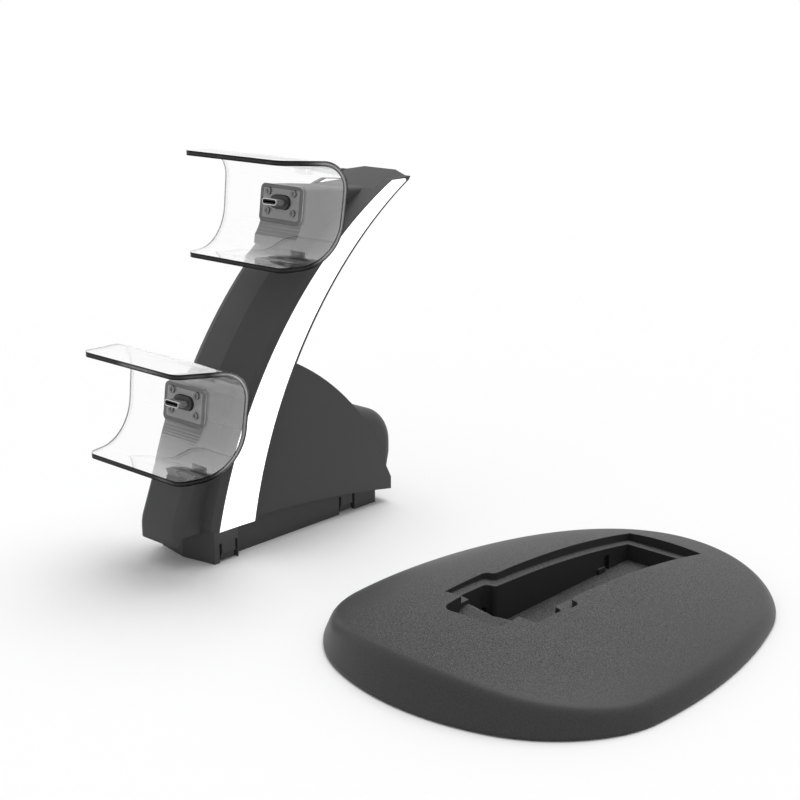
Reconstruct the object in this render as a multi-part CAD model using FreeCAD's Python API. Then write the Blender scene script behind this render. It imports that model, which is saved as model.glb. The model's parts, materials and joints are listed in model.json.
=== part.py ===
"""Charging dock for two hand controllers: a lit tower with two clear cradles, standing beside its base.

Lengths are in millimetres.  +Z is up, the cradles open towards -Y, and the base stands on the +X side.
The tower is drawn from the tip of its foot, and the base from the tip of the pocket that takes that foot.
Both are moved at the end, so that the middle of the whole footprint is the origin and the floor is z = 0.
"""

import math
import os

import FreeCAD
import Part

Vector = FreeCAD.Vector

# How far apart the two assemblies stand, from foot tip to pocket tip.
STAND_APART_X = 149.6
STAND_APART_Y = 10.4

# Shared clearances and walls.
WALL = 2.0
SEAT_GAP = 0.3
PLUG_HOLE_GAP = 0.2
BOARD_GAP = 0.2
SCREW_HOLE_GAP = 0.15
SCREW_HEAD_GAP = 0.2
SCREW_RECESS = 0.5
RECESS_SHARE = 0.6
PAST = 0.5
POCKET_CLEARANCE = 0.4
POCKET_FLOOR = 3.2

# Small round parts and holes are drawn with this many flat sides, which keeps the model light.
ROUND_SIDES = 16

# Curved arm, seen from the side.  The front and back curves pass through a point at each end height.
ARM_FOOT_Z = 14.0
ARM_TOP_Z = 142.0
STRIP_FRONT_FOOT_Y = 2.5
STRIP_FRONT_TIP_Y = 102.6
STRIP_FRONT_BOW = 17.5
STRIP_BACK_FOOT_Y = 21.3
STRIP_BACK_TIP_Y = 113.2
STRIP_BACK_BOW = 16.9

# Arm across its width.
ARM_HALF = 20.0
RIM_INNER_HALF = 17.0
CAP_FLAT_HALF = 9.0
PANEL_HALF = 15.9
RIM_LIP = 0.8
RIM_STAND = 2.3
RIDGE_STAND = 5.2
FRONT_PLATE_TOP_Z = 138.6
CAP_CENTRE_Z = 143.7
CAP_SIDE_Z = 142.2
TIP_BEVEL = 1.4
RIM_CAP_DROP = 0.6
EDGE_CAP_DROP = 0.3

# The underside of the tower and the ledge of the base are the same shallow arch.
ARCH_TOP_Y = 5.0
ARCH_TOP_Z = 14.6
ARCH_RADIUS = 552.0

# Light strips in the two sides of the arm.
STRIP_TOP_Z = 141.4
STRIP_TIP_RADIUS = 0.6
STRIP_BACK_INSET = 0.5
STRIP_GAP = 0.15
LED_BOARD_THICK = 0.8
LED_BOARD_WIDTH = 5.0
LED_BOARD_BEHIND = 9.5
LED_BOARD_LOW_Z = 20.0
LED_BOARD_HIGH_Z = 130.0
LED_BOARD_GAP = 0.2
SPLIT_AHEAD = 5.0
CAP_EDGE = 0.4

# Rear half of the tower.
REAR_FLANGE_Y = 105.0
REAR_FLANGE_TOP_Z = 11.0
REAR_PANEL_Y = 101.6
REAR_PANEL_FOOT_Z = 17.5
HUMP_FOOT_Z = 20.6
HUMP_TOP_Z = 76.0
HUMP_BOW = 6.8
LOBE_HALF = 15.5
LOBE_BACK_Y = 107.6
LOBE_FRONT_Y = 72.0
LOBE_FRONT_Z = 51.8
LOBE_CORNER_Z = 39.0
LOBE_CORNER_RADIUS = 17.0
LOBE_EDGE_RADIUS = 6.0
LOBE_WAIST_Z = 22.0
LOBE_WAIST_RADIUS = 8.0

# Housings that carry the two cradles.
HOUSING_HALF = 12.0
COLUMN_FRONT_Y = -12.3
COLUMN_FOOT_Z = 9.8
COLUMN_KNEE_Z = 17.0
COLUMN_WAIST_Y = 2.6
COLUMN_WAIST_Z = 54.0
COLUMN_TOP_Z = 71.0
COLUMN_SOLE_Z = 13.3
COLUMN_TOP_SET = 3.0
COLUMN_WAIST_SET = 0.3
COLUMN_FOOT_STEP = 1.3
COLUMN_SOLE_STEP = 2.2
COLUMN_WAIST_RADIUS = 60.0
COLUMN_KNEE_RADIUS = 14.0
COLUMN_KNEE_INSIDE_RADIUS = 5.0
COLUMN_EDGE_RADIUS = 4.0
HOUSING_ROOT = 2.0
BOSS_FOOT_Z = 116.8
BOSS_TOP_Z = 141.6
BOSS_FRONT_SET = 4.0
BOSS_FOOT_STEP = 0.5
BOSS_TOP_STEP = 4.5
BOSS_EDGE_RADIUS = 2.0

# Clear cradles.  Each is one bent sheet, wider at the back than at its front edges.
CRADLE_LOWER_Y = 3.9
CRADLE_LOWER_Z = 63.0
CRADLE_UPPER_Y = 57.4
CRADLE_UPPER_Z = 135.2
SHEET = 2.0
CRADLE_DEPTH = 26.5
CRADLE_TOP_RISE = 18.9
CRADLE_TOP_BACK_RISE = 16.9
CRADLE_DROP = 19.9
CRADLE_LEAN = 7.4
CRADLE_TOP_RADIUS = 9.0
CRADLE_BOTTOM_RADIUS = 18.0
CRADLE_FRONT_HALF = 27.5
CRADLE_BACK_HALF = 35.0
CRADLE_CORNER_RADIUS = 4.5

# Connector set in the back of each cradle.
FRAME_HALF = 12.0
FRAME_HEIGHT = 15.2
FRAME_RIM = 1.4
FRAME_RADIUS = 2.5
FRAME_DROP = 0.8
PLUG_WIDTH = 8.34
PLUG_HEIGHT = 2.56
PLUG_REACH = 6.4
PLUG_SHORT = 1.0
PLUG_SKIN = 0.3
PLUG_CORE_INSET = 0.4
PLUG_MOUTH_HEIGHT = 0.9
PLUG_MOUTH_END = 1.2
COLLAR_WIDTH = 11.0
COLLAR_HEIGHT = 5.4
COLLAR_PROUD = 1.0
CRADLE_SCREW_X = 7.3
CRADLE_SCREW_Z = 3.9
CRADLE_SCREW_SHANK = 0.9
CRADLE_SCREW_HEAD = 1.5
CRADLE_SCREW_HEAD_THICK = 0.7
CRADLE_SCREW_RECESS = 0.4
CONNECTOR_BOARD_THICK = 1.2
CONNECTOR_BOARD_HALF = 9.2
CONNECTOR_BOARD_DROP = 4.8
CONNECTOR_BOARD_RISE = 3.8
CONNECTOR_BOARD_ROOM = 5.0

# Foot that plugs into the base.
FOOT_TIP_ANGLE_Y = 2.9
FOOT_WIDE_HALF = 16.1
FOOT_WIDE_END_Y = 16.2
FOOT_NARROW_HALF = 12.2
FOOT_END_Y = 98.7
FOOT_STEP_RADIUS = 1.9
FOOT_WALL = 1.8
FOOT_SEAT = 0.1
TONGUE_SLOT = 1.4
TONGUE_SLOT_TOP = 7.9
TONGUE_LIFT = 1.0
TONGUE_STEP = 0.9
TONGUE_STEP_TOP = 3.4
FRONT_TONGUE_Y = 10.2
REAR_TONGUE_Y = 80.9
TONGUE_PITCH = 8.2
FOOT_SCREW_SHANK = 1.2
FOOT_SCREW_HEAD = 2.4
FOOT_SCREW_HEAD_THICK = 1.2
FOOT_SCREW_GRIP = 5.0
FOOT_POST_RADIUS = 3.2
FOOT_SCREW_POINTS = ((9.0, 10.0), (7.0, 85.0))

# Main board and its power socket.
BOARD_THICK = 1.6
BOARD_HALF = 11.5
BOARD_FRONT_Y = 62.0
BOARD_BACK_Y = 103.0
BOARD_Z = 22.0
BOARD_POST_RADIUS = 2.8
BOARD_POST_POINTS = ((8.0, 67.0), (8.0, 96.0))
BOARD_SCREW_SHANK = 1.0
BOARD_SCREW_HEAD = 2.0
BOARD_SCREW_HEAD_THICK = 0.9
BOARD_SCREW_GRIP = 5.0
SOCKET_WIDTH = 8.94
SOCKET_HEIGHT = 3.26
SOCKET_DEPTH = 7.4
SOCKET_SKIN = 0.3
SOCKET_INSET = 0.8
SOCKET_RECESS = 1.6
SOCKET_BLOCK = 2.0
TONGUE_THICK = 0.7

# Parts on the main board: x and y from and to, and height.
CHIPS = (
    (-3.5, 3.5, 71.0, 78.0, 1.6),
    (-2.5, 2.5, 82.0, 86.0, 1.5),
    (-9.5, -4.5, 80.0, 85.0, 3.0),
    (4.5, 9.5, 80.0, 85.0, 3.0),
)
HEADER_HALF = 8.0
HEADER_FRONT_Y = 63.0
HEADER_BACK_Y = 64.8
HEADER_HEIGHT = 4.0
HEADER_WALL = 0.8

# Base outline, one side, from the front tip: arcs that run on into each other, each with its radius
# and the heading in degrees at its end.  One more arc, centred on the middle plane, closes the back.
OUTLINE_TIP_Y = -47.6
OUTLINE_ARCS = ((91.4, 20.1), (56.0, 62.5), (41.2, 84.1), (216.0, 107.2))
BASE_LEAN = 7.5
BASE_LEAN_BACK = 2.5
BASE_SKIRT_Z = 0.5
BASE_SKIRT_TOP = 1.5
BASE_LEAN_TOP = 23.0
CROWN_TOP_Y = 17.0
CROWN_TOP_Z = 21.2
CROWN_LONG_RADIUS = 450.0
CROWN_CROSS_RADIUS = 150.0
CROWN_FRONT_Y = -1.0
CROWN_FRONT_RADIUS = 150.0
BASE_EDGE_RADIUS = 7.0
BASE_WALL = 2.2
BASE_SIDE_WALL = 3.4
CEILING_FLATS = 8
CROWN_HALF = 80.0
CROWN_DEPTH = 45.0
CROWN_BACK_SWEEP = 18.0
CROWN_FRONT_SWEEP = 30.0

# Seat for the tower in the top of the base.
SEAT_FRONT_Y = -1.2
SEAT_TIP_Y = -3.6
SEAT_WIDE_END_Y = 20.6
SEAT_END_Y = 105.4
LOBE_SEAT_FRONT_Y = -12.7
LOBE_SEAT_FRONT_Z = 12.5
LOBE_SEAT_BACK_Z = 16.2
LOBE_SEAT_STEP = 2.4
LOBE_SEAT_RISE = 0.3
SEAT_CORNER_RADIUS = 2.0
CATCH_LONG = 4.2
CATCH_PROUD = 0.8
CATCH_HEIGHT = 2.2
NOTCH_DEEP = 1.6
NOTCH_LONG = 3.6
NOTCH_HEIGHT = 6.0

# Underside of the base.
PLATE_THICK = 2.4
PLATE_INSET = 2.6
BALLAST_THICK = 4.0
BALLAST_NEAR_X = 26.0
BALLAST_FAR_X = 46.5
BALLAST_FRONT_Y = -8.0
BALLAST_BACK_Y = 74.0
BALLAST_CORNER_RADIUS = 3.0
BASE_FOOT_RADIUS = 6.0
BASE_FOOT_SUNK = 0.5
BASE_FOOT_CHAMFER = 0.3
BASE_SCREW_SHANK = 1.5
BASE_SCREW_HEAD = 2.8
BASE_SCREW_HEAD_THICK = 1.2
BASE_SCREW_GRIP = 5.0
BASE_POST_RADIUS = 3.6
BASE_HOLE_DEPTH = 4.5
BASE_SCREW_POINTS = ((24.0, -30.0), (53.0, -6.0), (51.0, 60.0), (24.0, 103.0))
BASE_FOOT_POINTS = ((36.0, -26.0), (54.0, 26.0), (36.0, 90.0))


def in_side_view(x):
    """Place a (y, z) pair on the upright plane at this x."""
    return lambda y, z: Vector(x, y, z)


def in_plan(z):
    """Place an (x, y) pair on the level plane at this height."""
    return lambda x, y: Vector(x, y, z)


def in_front_view(y):
    """Place an (x, z) pair on the upright plane at this y."""
    return lambda x, z: Vector(x, y, z)


def line(start, end):
    return Part.LineSegment(start, end).toShape()


def arc(start, middle, end):
    return Part.Arc(start, middle, end).toShape()


def rounded_edges(corners, place, closed=True):
    """Straight runs between (a, b, radius) corners, each corner rounded by a tangent arc."""
    count = len(corners)
    entries = []
    exits = []
    middles = []
    for index in range(count):
        here = Vector(corners[index][0], corners[index][1], 0)
        radius = corners[index][2]
        loose_end = not closed and index in (0, count - 1)
        if radius == 0 or loose_end:
            entries.append(here)
            exits.append(here)
            middles.append(None)
            continue
        previous = corners[index - 1]
        following = corners[(index + 1) % count]
        back = Vector(previous[0], previous[1], 0) - here
        ahead = Vector(following[0], following[1], 0) - here
        back.normalize()
        ahead.normalize()
        half_angle = back.getAngle(ahead) / 2
        reach = radius / math.tan(half_angle)
        inward = back + ahead
        inward.normalize()
        entries.append(here + back * reach)
        exits.append(here + ahead * reach)
        middles.append(here + inward * (radius / math.sin(half_angle) - radius))
    edges = []
    last = count if closed else count - 1
    for index in range(count):
        if middles[index] is not None:
            points = (entries[index], middles[index], exits[index])
            edges.append(arc(*[place(p.x, p.y) for p in points]))
        if index < last:
            start = exits[index]
            end = entries[(index + 1) % count]
            if start.distanceToPoint(end) > 1e-6:
                edges.append(line(place(start.x, start.y), place(end.x, end.y)))
    return edges


def prism(edges, direction):
    """Solid made by moving a closed loop of edges along a direction."""
    return Part.Face(Part.Wire(edges)).extrude(direction)


def across(edges_at, half):
    """Solid as wide as both sides of the middle plane; edges_at draws the loop at a given x."""
    return prism(edges_at(-half), Vector(2 * half, 0, 0))


def rounded_across(corners, half):
    return across(lambda x: rounded_edges(corners, in_side_view(x)), half)


def rounded_up(corners, low, high):
    return prism(rounded_edges(corners, in_plan(low)), Vector(0, 0, high - low))


def box(x0, x1, y0, y1, z0, z1):
    return Part.makeBox(x1 - x0, y1 - y0, z1 - z0, Vector(x0, y0, z0))


def round_prism(centre, across_way, up_way, run, radius):
    """Small round bar or hole with flat sides, from its centre, two cross directions and its run."""
    points = []
    for step in range(ROUND_SIDES + 1):
        angle = math.tau * step / ROUND_SIDES
        points.append(centre + across_way * (radius * math.cos(angle)) + up_way * (radius * math.sin(angle)))
    return Part.Face(Part.makePolygon(points)).extrude(run)


def upright(x, y, z0, z1, radius):
    return round_prism(Vector(x, y, z0), Vector(1, 0, 0), Vector(0, 1, 0), Vector(0, 0, z1 - z0), radius)


def along_y(x, z, y0, y1, radius):
    return round_prism(Vector(x, y0, z), Vector(1, 0, 0), Vector(0, 0, 1), Vector(0, y1 - y0, 0), radius)


def stadium(width, height, y0, y1, x=0.0, z=0.0):
    """Bar with two flat sides and two round ends, running along Y."""
    radius = height / 2
    half = width / 2 - radius
    points = []
    for side, first in ((1, -math.pi / 2), (-1, math.pi / 2)):
        for step in range(ROUND_SIDES // 2 + 1):
            angle = first + math.tau * step / ROUND_SIDES
            end_x = x + side * half + radius * math.cos(angle)
            points.append(Vector(end_x, y0, z + radius * math.sin(angle)))
    points.append(points[0])
    return Part.Face(Part.makePolygon(points)).extrude(Vector(0, y1 - y0, 0))


def mirror_x(shape):
    return shape.mirror(Vector(0, 0, 0), Vector(1, 0, 0))


def both_sides(shape):
    return [shape, mirror_x(shape)]


def fuse_all(shapes):
    return shapes[0].multiFuse(shapes[1:]).removeSplitter()


class Bow:
    """Arc that leans back from the arm's foot height to its top height."""

    def __init__(self, foot_y, tip_y, sag):
        run = tip_y - foot_y
        rise = ARM_TOP_Z - ARM_FOOT_Z
        chord = math.hypot(run, rise)
        self.radius = chord ** 2 / (8 * sag) + sag / 2
        reach = self.radius - sag
        self.centre_y = (foot_y + tip_y) / 2 + reach * rise / chord
        self.centre_z = (ARM_FOOT_Z + ARM_TOP_Z) / 2 - reach * run / chord

    def y(self, z):
        return self.centre_y - math.sqrt(self.radius ** 2 - (z - self.centre_z) ** 2)

    def edge(self, x, z0, z1, shift=0.0):
        middle = (z0 + z1) / 2
        return arc(*[Vector(x, self.y(z) + shift, z) for z in (z0, middle, z1)])


FRONT = Bow(STRIP_FRONT_FOOT_Y, STRIP_FRONT_TIP_Y, STRIP_FRONT_BOW)
BACK = Bow(STRIP_BACK_FOOT_Y, STRIP_BACK_TIP_Y, STRIP_BACK_BOW)
LOW_Z = 2.0


def band(x, shifts, low, high):
    """Closed loop between the front and back curves at this x."""
    front_shift, back_shift = shifts
    low_front = Vector(x, FRONT.y(low) + front_shift, low)
    low_back = Vector(x, BACK.y(low) + back_shift, low)
    high_front = Vector(x, FRONT.y(high) + front_shift, high)
    high_back = Vector(x, BACK.y(high) + back_shift, high)
    return [
        FRONT.edge(x, low, high, front_shift),
        line(high_front, high_back),
        BACK.edge(x, high, low, back_shift),
        line(low_back, low_front),
    ]


def arm_slice(x, front_shift, front_top, back_top):
    """Side view of the arm at this x, with the tip bevelled behind the cap."""
    bevel_z = back_top - TIP_BEVEL
    cap_front = Vector(x, FRONT.y(front_top) + front_shift, front_top)
    cap_back = Vector(x, BACK.y(back_top) + RIM_LIP - TIP_BEVEL, back_top)
    bevel_end = Vector(x, BACK.y(bevel_z) + RIM_LIP, bevel_z)
    low_back = Vector(x, BACK.y(LOW_Z) + RIM_LIP, LOW_Z)
    low_front = Vector(x, FRONT.y(LOW_Z) + front_shift, LOW_Z)
    return Part.Wire([
        FRONT.edge(x, LOW_Z, front_top, front_shift),
        line(cap_front, cap_back),
        line(cap_back, bevel_end),
        BACK.edge(x, bevel_z, LOW_Z, RIM_LIP),
        line(low_back, low_front),
    ])


def ridge_shift(x):
    """How far the front plate stands ahead of the strip's front curve at this x."""
    return -RIDGE_STAND + (RIDGE_STAND - RIM_STAND) * x / RIM_INNER_HALF


def make_arm():
    plate_top = FRONT_PLATE_TOP_Z
    cap_top = CAP_CENTRE_Z
    middle = arm_slice(0, ridge_shift(0), plate_top, cap_top)
    flat = arm_slice(CAP_FLAT_HALF, ridge_shift(CAP_FLAT_HALF), plate_top, cap_top)
    inner = arm_slice(RIM_INNER_HALF, ridge_shift(RIM_INNER_HALF), plate_top, CAP_SIDE_Z)
    rim = arm_slice(RIM_INNER_HALF, -RIM_STAND, CAP_SIDE_Z - RIM_CAP_DROP, CAP_SIDE_Z)
    edge = arm_slice(ARM_HALF, -RIM_LIP, CAP_SIDE_Z - EDGE_CAP_DROP, CAP_SIDE_Z)
    pieces = []
    for first, second in ((middle, flat), (flat, inner), (rim, edge)):
        pieces.extend(both_sides(Part.makeLoft([first, second], True, True)))
    return fuse_all(pieces)


def hump_edges(x, drop, end_shift):
    """Side view of the rear half, drawn smaller by drop for the hollow inside."""
    flange_y = REAR_FLANGE_Y - drop
    panel_y = REAR_PANEL_Y - drop
    foot = Vector(x, panel_y, HUMP_FOOT_Z - drop)
    top_z = HUMP_TOP_Z - drop
    top = Vector(x, BACK.y(top_z) + end_shift, top_z)
    chord = top - foot
    outward = Vector(0, -chord.z, chord.y)
    outward.normalize()
    if outward.z < 0:
        outward = outward * -1
    middle = (foot + top) * 0.5 + outward * HUMP_BOW
    low_front = Vector(x, BACK.y(LOW_Z) + end_shift, LOW_Z)
    low_back = Vector(x, flange_y, LOW_Z)
    flange = Vector(x, flange_y, REAR_FLANGE_TOP_Z - drop)
    knee = Vector(x, panel_y, REAR_PANEL_FOOT_Z - drop)
    return [
        line(low_front, low_back),
        line(low_back, flange),
        line(flange, knee),
        line(knee, foot),
        arc(foot, middle, top),
        BACK.edge(x, top_z, LOW_Z, end_shift),
    ]


def lobe_corners(drop):
    back_y = LOBE_BACK_Y - drop
    return (
        (LOBE_FRONT_Y, LOBE_FRONT_Z - drop, 0),
        (back_y, LOBE_CORNER_Z - drop, LOBE_CORNER_RADIUS - drop),
        (back_y, LOBE_WAIST_Z, LOBE_WAIST_RADIUS),
        (REAR_FLANGE_Y - drop, REAR_FLANGE_TOP_Z + drop, 0),
        (LOBE_FRONT_Y, REAR_FLANGE_TOP_Z + drop, 0),
    )


def edges_where(shape, test):
    return [edge for edge in shape.Edges if test(edge)]


def middle_of(edge):
    return edge.valueAt((edge.FirstParameter + edge.LastParameter) / 2)


def make_rear():
    body = across(lambda x: hump_edges(x, 0.0, -3.0), PANEL_HALF)
    lobe = rounded_across(lobe_corners(0.0), LOBE_HALF)

    def on_back_corner(edge):
        middle = middle_of(edge)
        on_side = abs(abs(middle.x) - LOBE_HALF) < 0.01 and edge.BoundBox.XLength < 0.01
        return on_side and middle.y > LOBE_BACK_Y - 12 and middle.z > REAR_FLANGE_TOP_Z + 1

    lobe = lobe.makeFillet(LOBE_EDGE_RADIUS, edges_where(lobe, on_back_corner))
    return body.fuse(lobe).removeSplitter()


def arch_tool(lift=0.0):
    """Everything below the shallow arch, raised by lift."""
    centre = Vector(-60, ARCH_TOP_Y, ARCH_TOP_Z + lift - ARCH_RADIUS)
    return Part.makeCylinder(ARCH_RADIUS, 120, centre, Vector(1, 0, 0))


def arch_z(y):
    return ARCH_TOP_Z - ARCH_RADIUS + math.sqrt(ARCH_RADIUS ** 2 - (y - ARCH_TOP_Y) ** 2)


def above_arch(shape, lift=0.0):
    return shape.cut(arch_tool(lift))


def cradle_corners(offset, front_trim=0.0):
    """Corners of the cradle's side view from its reference point; offset grows it outwards."""
    lean = math.radians(CRADLE_LEAN)
    front = -CRADLE_DEPTH
    top_slope = (CRADLE_TOP_RISE - CRADLE_TOP_BACK_RISE) / CRADLE_DEPTH
    stretch = math.hypot(1, top_slope)

    def back_y(z):
        return z * math.tan(lean) + offset / math.cos(lean)

    def top_z(y):
        return CRADLE_TOP_BACK_RISE - y * top_slope + offset * stretch

    corner_z = CRADLE_TOP_BACK_RISE + offset
    for _ in range(6):
        corner_z = top_z(back_y(corner_z))
    bottom_z = -CRADLE_DROP - offset
    return (
        (front - front_trim, top_z(front - front_trim), 0),
        (back_y(corner_z), corner_z, CRADLE_TOP_RADIUS + offset),
        (back_y(bottom_z), bottom_z, CRADLE_BOTTOM_RADIUS + offset),
        (front - front_trim, bottom_z, 0),
    )


def sheet_loop(x):
    """Closed side view of the bent sheet."""
    place = in_side_view(x)
    inner = rounded_edges(cradle_corners(0.0), place, closed=False)
    outer = rounded_edges(cradle_corners(SHEET), place, closed=False)
    inner_ends = cradle_corners(0.0)
    outer_ends = cradle_corners(SHEET)
    caps = []
    for index in (0, 3):
        start = place(inner_ends[index][0], inner_ends[index][1])
        end = place(outer_ends[index][0], outer_ends[index][1])
        caps.append(line(start, end))
    return Part.Wire(Part.__sortEdges__(inner + outer + caps))


def sheet_solid():
    half = CRADLE_BACK_HALF + 4
    return Part.Face(sheet_loop(-half)).extrude(Vector(2 * half, 0, 0))


def cradle_envelope(offset):
    """The space inside a cradle grown outwards by offset, carried on to the front."""
    return rounded_across(cradle_corners(offset, 20.0), CRADLE_BACK_HALF + 10)


def frame_block(grow, y0, y1):
    """Rounded rectangle of the connector frame, running from front to back."""
    half = FRAME_HALF + grow
    low = -FRAME_DROP - FRAME_HEIGHT / 2 - grow
    high = -FRAME_DROP + FRAME_HEIGHT / 2 + grow
    radius = FRAME_RADIUS + grow
    corners = ((-half, low, radius), (half, low, radius), (half, high, radius), (-half, high, radius))
    return prism(rounded_edges(corners, in_front_view(y0)), Vector(0, y1 - y0, 0))


def lean_back(shape):
    """Tip a piece drawn upright so that it follows the leaning back of the cradle."""
    return shape.rotate(Vector(0, 0, 0), Vector(1, 0, 0), -CRADLE_LEAN)


def screw_spots():
    """Centres of the four cradle screws in the upright drawing."""
    spots = []
    for x in (-CRADLE_SCREW_X, CRADLE_SCREW_X):
        for z in (-CRADLE_SCREW_Z, CRADLE_SCREW_Z):
            spots.append((x, z))
    return spots


HOUSING_INSIDE = SHEET + WALL


def collar_hole(y0, y1):
    """Opening that clears the black moulding round a plug."""
    return stadium(COLLAR_WIDTH + 2 * PLUG_HOLE_GAP, COLLAR_HEIGHT + 2 * PLUG_HOLE_GAP, y0, y1)


def connector_openings():
    """Everything that a housing wall gives way to: the plug body and the four screws."""
    depth = HOUSING_INSIDE + PAST
    cutters = [collar_hole(0, depth)]
    for x, z in screw_spots():
        cutters.append(along_y(x, z, 0, depth, CRADLE_SCREW_SHANK))
    half = CONNECTOR_BOARD_HALF + BOARD_GAP
    low = -CONNECTOR_BOARD_DROP - BOARD_GAP
    high = CONNECTOR_BOARD_RISE + BOARD_GAP
    cutters.append(box(-half, half, HOUSING_INSIDE, HOUSING_INSIDE + CONNECTOR_BOARD_ROOM, low, high))
    return [lean_back(cutter) for cutter in cutters]


def make_connector():
    """Cradle, frame, pad, plug and screws, drawn round the reference point."""
    sheet = sheet_solid()
    front_y = -CRADLE_DEPTH
    back_y = SHEET + CRADLE_TOP_BACK_RISE * math.tan(math.radians(CRADLE_LEAN))
    plan = (
        (-CRADLE_FRONT_HALF, front_y, CRADLE_CORNER_RADIUS),
        (CRADLE_FRONT_HALF, front_y, CRADLE_CORNER_RADIUS),
        (CRADLE_BACK_HALF, back_y, 0),
        (-CRADLE_BACK_HALF, back_y, 0),
    )
    cradle = sheet.common(rounded_up(plan, -40, 40))
    cradle = cradle.cut(lean_back(frame_block(SEAT_GAP / 3, -6, 12)))

    outer = lean_back(frame_block(0.0, -6, 12))
    inner = lean_back(frame_block(-FRAME_RIM, -6, 12))
    frame = sheet.common(outer).cut(inner)
    pad = sheet.common(lean_back(frame_block(-FRAME_RIM - SEAT_GAP / 3, -6, 12)))
    pad = pad.cut(lean_back(collar_hole(-6, 12)))
    for x, z in screw_spots():
        pad = pad.cut(lean_back(along_y(x, z, -6, 12, CRADLE_SCREW_SHANK + SCREW_HOLE_GAP)))
        pad = pad.cut(lean_back(along_y(x, z, -6, 0, CRADLE_SCREW_HEAD + SCREW_HEAD_GAP)))

    screws = []
    for x, z in screw_spots():
        head = along_y(x, z, -CRADLE_SCREW_HEAD_THICK, 0, CRADLE_SCREW_HEAD)
        shank = along_y(x, z, 0, HOUSING_INSIDE - BOARD_GAP, CRADLE_SCREW_SHANK)
        arm = CRADLE_SCREW_HEAD * RECESS_SHARE
        thin = CRADLE_SCREW_RECESS / 2
        bottom_y = -CRADLE_SCREW_HEAD_THICK / 2
        slot = box(x - thin, x + thin, -CRADLE_SCREW_HEAD_THICK, bottom_y, z - arm, z + arm)
        cross = box(x - arm, x + arm, -CRADLE_SCREW_HEAD_THICK, bottom_y, z - thin, z + thin)
        screws.append(lean_back(head.fuse(shank).cut(slot).cut(cross).removeSplitter()))

    collar_front = stadium(COLLAR_WIDTH, COLLAR_HEIGHT, -COLLAR_PROUD, HOUSING_INSIDE)
    plug_root = HOUSING_INSIDE - PLUG_SHORT
    bore = stadium(PLUG_WIDTH, PLUG_HEIGHT, -COLLAR_PROUD, plug_root)
    body = lean_back(collar_front.cut(bore))

    skin = stadium(PLUG_WIDTH, PLUG_HEIGHT, -PLUG_REACH, plug_root)
    core_width = PLUG_WIDTH - 2 * PLUG_SKIN
    core_height = PLUG_HEIGHT - 2 * PLUG_SKIN
    core_root = plug_root - PLUG_CORE_INSET
    hollow = stadium(core_width, core_height, -PLUG_REACH, core_root)
    shell = lean_back(skin.cut(hollow))
    core_tip = -PLUG_REACH + PLUG_CORE_INSET
    core = stadium(core_width, core_height, core_tip, core_root)
    mouth = stadium(PLUG_WIDTH - 4 * PLUG_SKIN, PLUG_MOUTH_HEIGHT, core_tip, -PLUG_MOUTH_END)
    core = lean_back(core.cut(mouth))
    board_back = HOUSING_INSIDE + CONNECTOR_BOARD_THICK
    half = CONNECTOR_BOARD_HALF
    board = box(-half, half, HOUSING_INSIDE, board_back, -CONNECTOR_BOARD_DROP, CONNECTOR_BOARD_RISE)
    board = lean_back(board)
    return {
        "cradle": cradle,
        "connector_frame": frame,
        "connector_pad": pad,
        "cradle_screws": Part.Compound(screws),
        "plug_collar": body,
        "plug_shell": shell,
        "plug_core": core,
        "connector_board": board,
    }


def column_loop(x, drop):
    """Side view of the lower housing; drop draws the hollow inside it."""
    place = in_side_view(x)
    low_z = ARCH_TOP_Z + 1.0 + drop
    top_z = COLUMN_TOP_Z - drop
    inside = HOUSING_ROOT + drop
    knee_radius = COLUMN_KNEE_RADIUS if drop == 0.0 else COLUMN_KNEE_INSIDE_RADIUS
    corners = [
        (COLUMN_WAIST_Y + COLUMN_TOP_SET + drop, top_z, 0),
        (COLUMN_WAIST_Y - COLUMN_WAIST_SET + drop * 1.1, COLUMN_WAIST_Z, COLUMN_WAIST_RADIUS),
        (COLUMN_FRONT_Y + drop, COLUMN_KNEE_Z, knee_radius),
    ]
    if drop == 0.0:
        corners.extend([
            (COLUMN_FRONT_Y, COLUMN_FOOT_Z, 0),
            (COLUMN_FRONT_Y + COLUMN_FOOT_STEP, COLUMN_FOOT_Z, 0),
            (COLUMN_FRONT_Y + COLUMN_SOLE_STEP, COLUMN_SOLE_Z, 0),
            (-0.5, COLUMN_SOLE_Z, 0),
            (-0.5, low_z, 0),
        ])
    else:
        corners.append((COLUMN_FRONT_Y + drop, COLUMN_SOLE_Z + drop, 0))
        corners.append((-0.5, COLUMN_SOLE_Z + drop, 0))
        corners.append((-0.5, low_z, 0))
    edges = rounded_edges(corners, place, closed=False)
    start = place(corners[0][0], corners[0][1])
    end = place(-0.5, low_z)
    root = place(FRONT.y(low_z) + inside, low_z)
    crown = place(FRONT.y(top_z) + inside, top_z)
    edges.append(line(end, root))
    edges.append(FRONT.edge(x, low_z, top_z, inside))
    edges.append(line(crown, start))
    return edges


def boss_loop(x, drop):
    """Side view of the upper housing."""
    place = in_side_view(x)
    low_z = BOSS_FOOT_Z + drop
    plate_z = FRONT_PLATE_TOP_Z - drop
    inside = HOUSING_ROOT + drop
    front_shift = CRADLE_UPPER_Y - BOSS_FRONT_SET + drop
    low_front = place(front_shift + BOSS_FOOT_STEP, low_z)
    high_front = place(front_shift + BOSS_TOP_STEP, BOSS_TOP_Z - drop)
    plate = place(FRONT.y(plate_z) + inside, plate_z)
    root = place(FRONT.y(low_z) + inside, low_z)
    return [
        line(low_front, high_front),
        line(high_front, plate),
        FRONT.edge(x, plate_z, low_z, inside),
        line(root, low_front),
    ]


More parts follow.
